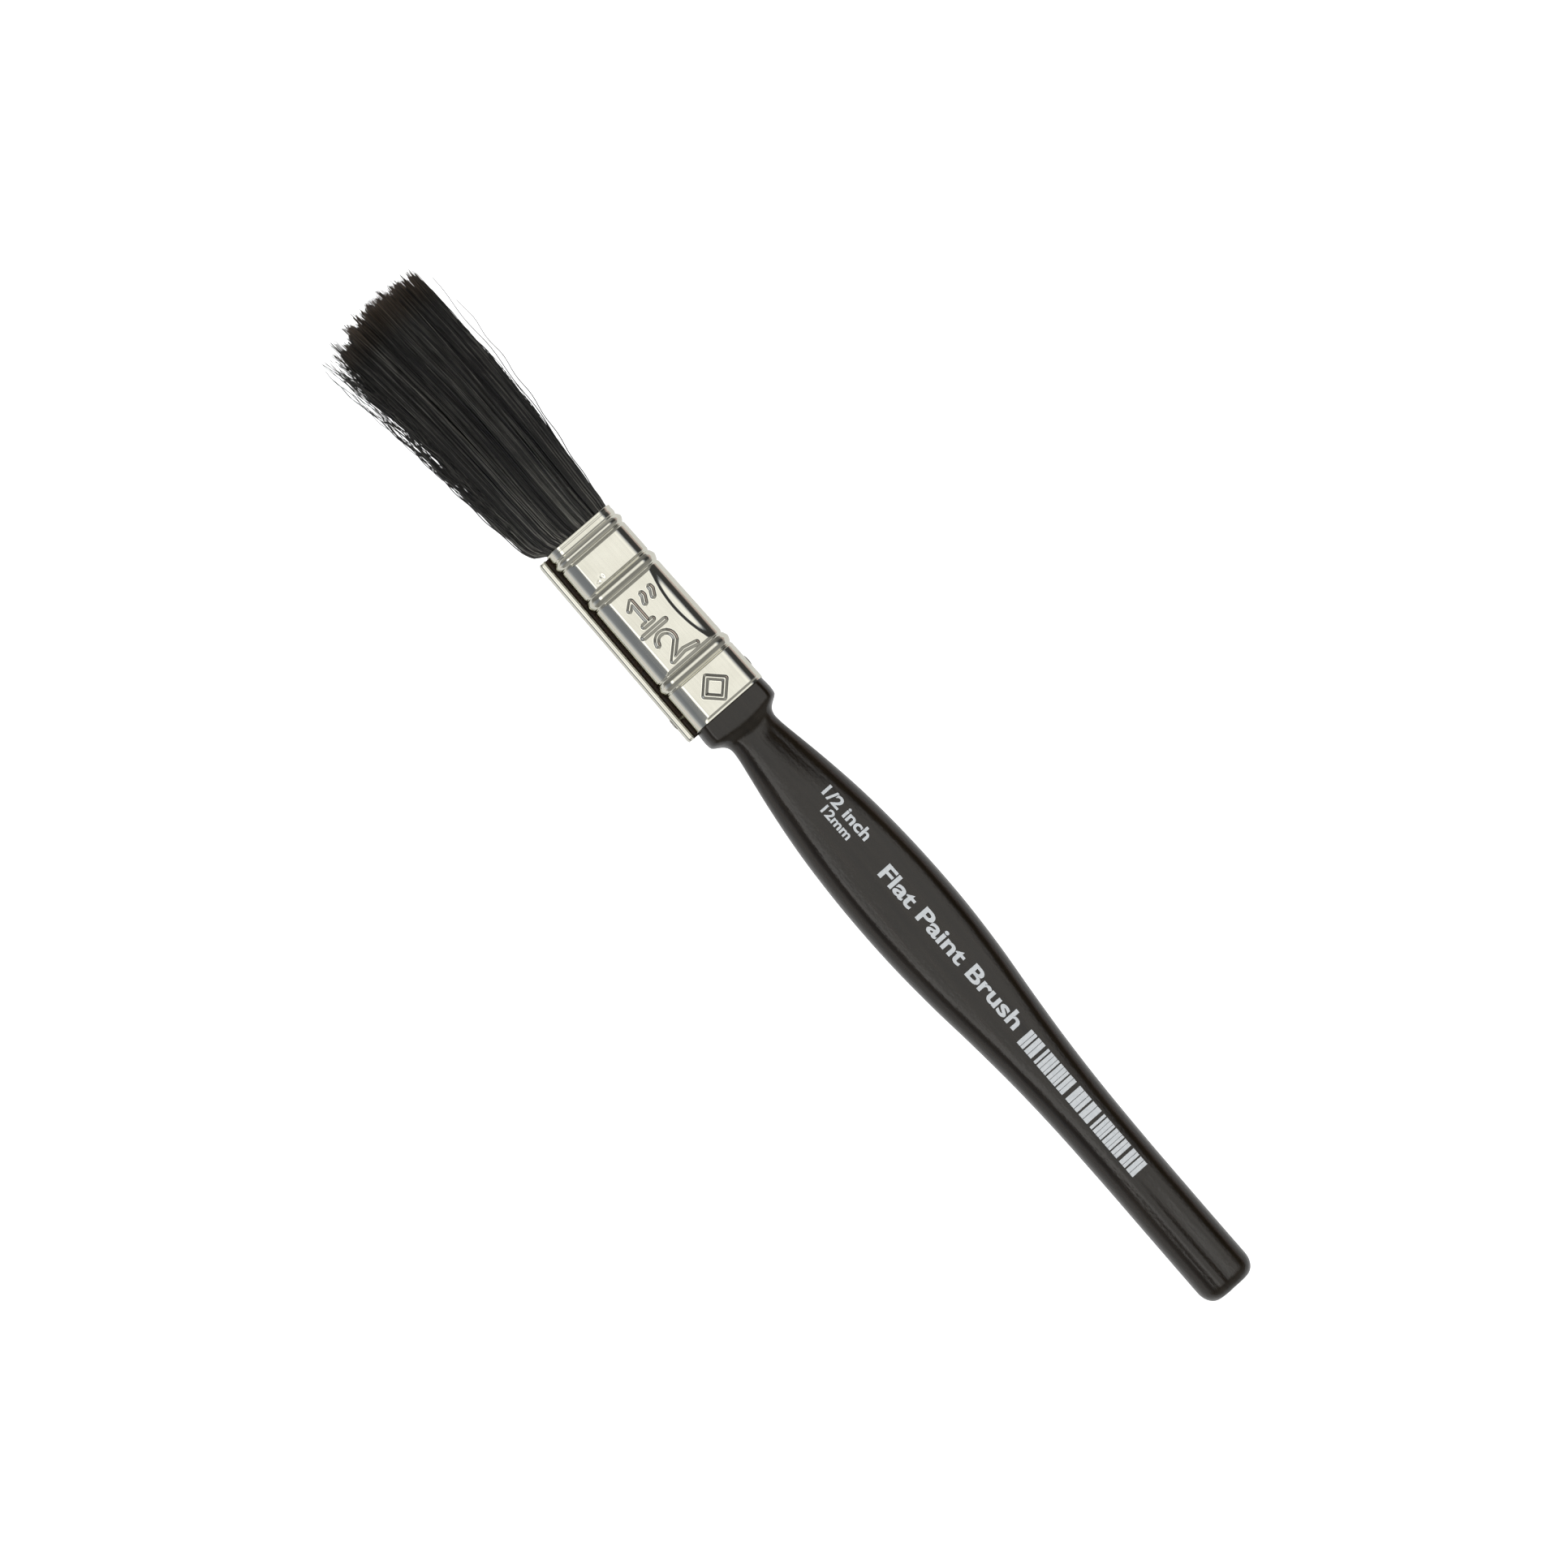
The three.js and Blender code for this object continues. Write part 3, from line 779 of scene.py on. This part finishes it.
def filament_pack(name, side):
    """One of the two packs: filaments gather into clumps whose tips end at different lengths."""
    count = PACK_COUNT
    a, depth = spread_points(count)
    across = 2 * a - 1
    clumps = rng.uniform(-1, 1, (CLUMPS, 2)) * [1, 0.5] + [0, 0.5]
    gaps = np.hypot((across[:, None] - clumps[:, 0]) * 4.5, depth[:, None] - clumps[:, 1])
    owner = gaps.argmin(axis=1)
    clump_length = rng.normal(0.3, 0.8, len(clumps))
    clump_lean = rng.normal(0, 1, (len(clumps), 2)) * [0.35, 0.2]
    # The crown stands a little to the plain side of the middle.
    length = BRISTLE_OUT - CROWN * np.abs(across + 0.25) ** 2.2 / 1.5 + clump_length[owner]
    length -= np.abs(rng.normal(0, 0.8, count)) + (rng.random(count) < 0.1) * rng.uniform(0.5, 5, count)
    drift = rng.normal(0, 1, (count, 2)) * [0.26, 0.18]
    phase, waves = rng.uniform(0, 2 * np.pi, count), rng.uniform(0.6, 1.6, count)

    def where(x, t):
        y, z = place_along(x, across, depth, side)
        cy, cz = place_along(x, clumps[owner, 0], clumps[owner, 1], side)
        pull = 0.62 * t**1.3
        sway = 0.14 * t * np.sin(phase + waves * 2 * np.pi * t)
        y = lerp(y, cy, pull) + (drift[:, 0] + clump_lean[owner, 0]) * t**1.5 + sway
        z = lerp(z, cz, pull * 0.7) + (drift[:, 1] + clump_lean[owner, 1]) * t**1.5
        return y, z

    path = np.zeros((count, INNER_PLACES + PACK_PLACES, 3))
    taper = walk(path, length, where)
    piece = tubes(name, path, rng.uniform(0.85, 1.15, (count, 1)) * taper)
    bend_with_head(piece)
    return piece


def bend_with_head(piece):
    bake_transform(piece)


# Stray filaments. Each kind: how many tufts, the hairs in each, the side of the brush, and the ranges of
# how far they reach out from it, of the power that shapes their curve, and of their share of the length.
STRAYS = [
    (110, 1, 1, (0.6, 4.2), (0.32, 0.6), (0.25, 1.0)),
    (22, 7, 1, (0.6, 3.4), (0.8, 1.8), (0.8, 1.0)),
    (8, 3, -1, (0.1, 0.8), (0.8, 1.5), (0.35, 1.0)),
]
# Two more single hairs stand well clear of the plain side.
LONE_REACH, LONE_CURL, LONE_END = [2.8, 1.9], [1.0, 1.0], [0.95, 0.95]
BORE_SHARE = 0.99  # the most of the pack's half-width that a stray filament starts at
LIP_CLEAR = (0.1, 1.5)  # the stretch past the mouth over which stray filaments start to spread


def stray_filaments():
    """Wavy filaments off the pack: loose ones and tufts on the seam side, and a few on the plain side."""
    tufts = [kind[0] for kind in STRAYS]
    hairs = np.repeat([kind[1] for kind in STRAYS] + [1], tufts + [len(LONE_REACH)])
    sides = np.repeat([kind[2] for kind in STRAYS] + [-1], tufts + [len(LONE_REACH)])

    def each(column, lone):
        return np.concatenate([rng.uniform(*kind[column], kind[0]) for kind in STRAYS] + [lone])

    reach, curl, ends = each(3, LONE_REACH), each(4, LONE_CURL), each(5, LONE_END)
    start = rng.uniform(0.94, 1.02, len(hairs))
    level = rng.uniform(-0.9, 0.9, len(hairs))
    owner = np.repeat(np.arange(len(hairs)), hairs)
    count = len(owner)
    side = sides[owner]
    across = side * np.minimum(start[owner] + rng.normal(0, 0.02, count), BORE_SHARE)
    level = np.clip(level[owner] + rng.normal(0, 0.15, count), -0.95, 0.95)
    reach = reach[owner] * rng.uniform(0.75, 1.1, count)
    curl = curl[owner] + rng.normal(0, 0.04, count)
    length = (BRISTLE_OUT - CROWN) * np.clip(ends[owner] + rng.normal(0, 0.05, count), 0.2, 1.03)
    phase = rng.uniform(0, 2 * np.pi, count)
    waves = rng.uniform(20, 58, count)

    def where(x, t):
        y, z = place_along(x, across, np.abs(level), np.sign(level))
        far = t * length / BRISTLE_OUT
        # They keep inside the bore until they are past the ferrule's lip.
        clear = smoothstep(x, MOUTH_X + LIP_CLEAR[0], MOUTH_X + LIP_CLEAR[1])
        y = y + clear * (side * reach * far**curl + WAVE * np.sqrt(t) * np.sin(phase + waves * far))
        return y, z + 0.3 * t * np.cos(phase + 3 * t)

    path = np.zeros((count, INNER_PLACES + STRAY_PLACES, 3))
    taper = walk(path, length, where)
    bend_with_head(tubes("stray_filaments", path, np.tile(taper, (count, 1))))


def make_filaments():
    for side, name in ((1, "front"), (-1, "back")):
        piece = filament_pack(name + "_filaments", side)
        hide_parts(name + "_bristle_head", name + "_bristle_roots")
    stray_filaments()


# ---- print on the front face ----

INK_HEIGHT = 0.03
CAPITAL = 0.729  # a capital's height in a font of size 1


def print_text(name, words, start_u, end_u, across, height, bold):
    """Words along the handle, read from the ferrule to the butt, their tops towards the plain side."""
    curve = bpy.data.curves.new(name, "FONT")
    curve.body = words
    curve.size = 1.0
    curve.extrude = INK_HEIGHT * MM
    curve.offset = bold
    text = bpy.data.objects.new(name, curve)
    bpy.context.scene.collection.objects.link(text)
    piece = from_curve(name, text, INK)
    co = np.array([v.co for v in piece.data.vertices])
    low, high = co.min(axis=0), co.max(axis=0)
    u = lerp(start_u, end_u, (co[:, 0] - low[0]) / (high[0] - low[0]))
    y = -(across + co[:, 1] / CAPITAL * height)
    z = MID_Z + face_height(u, y) + co[:, 2] / MM
    for vertex, place in zip(piece.data.vertices, np.column_stack([HEEL_X - u, y + drift(u), z]) * MM):
        vertex.co = place
    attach(piece, BODY)


# Each group of bars: its start and end behind the ferrule, and how many bars it has.
BAR_GROUPS = [(67.9, 71.3, 4), (71.8, 78.6, 9), (79.3, 84.5, 5), (85.0, 91.4, 9), (91.9, 95.2, 4)]
BAR_ENDS = (-2.05, 1.0)
WIDE_BAR, NARROW_BAR = 0.90, 0.66  # shares of the pitch


def print_bars():
    """A plain rhythm of bars in five groups, which encodes nothing."""
    across = np.linspace(*BAR_ENDS, 9)
    points, faces = [], []
    for start, end, bars in BAR_GROUPS:
        pitch = (end - start) / bars
        for k in range(bars):
            near = start + k * pitch
            far = near + pitch * (WIDE_BAR if (k * 5 + bars) % 3 else NARROW_BAR)
            base = len(points)
            for y in across:
                for u, up in ((far, -1), (near, -1), (near, 1), (far, 1)):
                    points.append((HEEL_X - u, y + drift(u), MID_Z + face_height(u, y) + up * INK_HEIGHT))
            faces += grid_faces(len(across), 4, offset=base)
            last = base + 4 * (len(across) - 1)
            faces += [(base + 3, base + 2, base + 1, base), (last, last + 1, last + 2, last + 3)]
    piece = make_object("printed_bars", points, faces, INK, smooth=False)
    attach(piece, BODY)


def make_print():
    print_text("printed_size", "12mm", 21.4, 27.5, -0.4, 1.5, 0.028)
    print_text("printed_inches", "1/2 inch", 19.4, 29.4, 1.6, 1.9, 0.028)
    print_text("printed_words", "Flat Paint Brush", 34.5, 66.2, -0.2, 2.6, 0.025)
    print_bars()


# ---- inner CAD pieces that stay ----

def finish_inner():
    for node, material in (("resin_set", RESIN), ("spacer", WOOD)):
        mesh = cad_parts[node].data
        mesh.materials.clear()
        mesh.materials.append(material)


# ---- camera, light and floor ----

ROLL = math.radians(4)  # the brush is seen turned a little to its seam side
IMAGE_X = Vector((-0.658, -0.753))  # where the brush's +X and +Y point, as shares of image right
IMAGE_Y = Vector((0.753, -0.658))  # and of image up
VIEW_WIDTH = 241.5  # how much the picture shows at the brush
LENS, SENSOR = 100.0, 36.0
FRAME_OFFSET = (3.5, -1.55)  # the brush's middle from the picture's, right and up


def make_camera():
    back = Vector((0, math.sin(ROLL), math.cos(ROLL)))
    along = Vector((1, 0, 0))
    over = Vector((0, math.cos(ROLL), -math.sin(ROLL)))
    right = (IMAGE_X[0] * along + IMAGE_X[1] * over).normalized()
    up = (IMAGE_Y[0] * along + IMAGE_Y[1] * over).normalized()
    target = Vector((0, 0, MID_Z)) - right * FRAME_OFFSET[0] - up * FRAME_OFFSET[1]
    distance = VIEW_WIDTH * LENS / SENSOR
    data = bpy.data.cameras.new("camera")
    data.lens = LENS
    data.sensor_width = SENSOR
    camera = bpy.data.objects.new("camera", data)
    turn = Matrix((right, up, back)).transposed().to_4x4()
    camera.matrix_world = Matrix.Translation((target + back * distance) * MM) @ turn
    bpy.context.scene.collection.objects.link(camera)
    bpy.context.scene.camera = camera


FLOOR_HALF, FLOOR_Z = 4000, -28


def make_floor():
    """Low enough that the bristles clear it when they bend down."""
    size, z = FLOOR_HALF, FLOOR_Z
    corners = [(-size, -size, z), (size, -size, z), (size, size, z), (-size, size, z)]
    floor = make_object("floor", corners, [(0, 1, 2, 3)], PAPER, smooth=False)


# The studio round the brush: degrees from straight up towards the seam side, brightness, and tint
# (1 is cool, -1 is reddish).
STRIPS = [(-90, 0.6, -1), (-78, 0.5, -1), (-71, 0.10, -1), (-66, 0.05, 0), (-36, 0.05, 0.5),
          (-31, 0.25, 1), (-26, 0.60, 0.5), (-20, 1.0, 0), (-11, 1.25, 0), (-5, 1.1, 0), (0, 0.95, 0),
          (4, 0.95, 0), (8, 1.8, 0), (18, 2.0, 0), (23, 0.3, 0.5), (36, 0.22, 1), (56, 0.28, 1),
          (74, 0.65, 0.5), (84, 0.85, 0), (90, 0.7, -1)]
STRIP_PEAK = 2.0
WARM, COOL, RED = (1.0, 0.995, 0.98), (0.91, 0.97, 1.12), (1.12, 0.95, 0.92)
# The studio's two ends: how far along X each place lies, how much of the plain end it shows, and the
# end's brightness.
ENDS = [(-1.0, 1.0, 0.45), (-0.6, 1.0, 0.22), (-0.25, 0.0, 0.22), (0.35, 0.0, 0.15), (0.7, 1.0, 0.15),
        (1.0, 1.0, 0.45)]


def tinted(bright, tint):
    end = COOL if tint > 0 else RED
    return [lerp(w, e, abs(tint)) * bright / STRIP_PEAK for w, e in zip(WARM, end)]


def make_world():
    """Long strip lights and black flags, side by side along the brush, between two plain ends."""
    world = bpy.data.worlds.new("studio_strips")
    world.use_nodes = True
    tree = NodeTree(world.node_tree)
    direction = tree.add("ShaderNodeTexCoord").outputs["Generated"]
    x, y, z = tree.add("ShaderNodeSeparateXYZ", {0: direction}).outputs
    round_brush = tree.add("ShaderNodeMath", {0: y, 1: z}, operation="ARCTAN2").outputs[0]
    share = tree.add("ShaderNodeMapRange", {0: round_brush, 1: -math.pi, 2: math.pi}).outputs[0]
    strips = tree.ramp(share, [((a + 180) / 360, tinted(bright, tint)) for a, bright, tint in STRIPS])
    along = tree.add("ShaderNodeMapRange", {0: x, 1: -1.0, 2: 1.0}).outputs[0]
    end = tree.ramp(along, [((a + 1) / 2, (amount,) * 3) for a, amount, _ in ENDS])
    plain = tree.ramp(along, [((a + 1) / 2, tinted(bright, 0)) for a, _, bright in ENDS])
    mixed = tree.mix(end, strips, plain)
    seen = tree.add("ShaderNodeLightPath").outputs["Is Camera Ray"]
    background = tree.nodes["Background"]
    tree.join(background.inputs["Color"], tree.mix(seen, mixed, (1, 1, 1, 1)))
    tree.join(background.inputs["Strength"], STRIP_PEAK)
    bpy.context.scene.world = world


FILL_STRENGTH, FILL_SPREAD, FILL_COLOUR = 0.46, math.radians(60), (0.95, 0.99, 1.0)


def make_fill():
    """A broad overhead light that lifts the print and the filaments, but leaves no glint of its own."""
    data = bpy.data.lights.new("overhead_fill", "SUN")
    data.energy = FILL_STRENGTH
    data.angle = FILL_SPREAD
    data.color = FILL_COLOUR
    lamp = bpy.data.objects.new("overhead_fill", data)
    lamp.visible_glossy = False
    bpy.context.scene.collection.objects.link(lamp)


make_camera()
make_world()
make_fill()
make_floor()
make_handle()
make_ferrule()
make_seam()
make_brads()
make_filaments()
make_print()
finish_inner()
bpy.context.scene.view_settings.view_transform = "Standard"

bpy.context.view_layer.update()
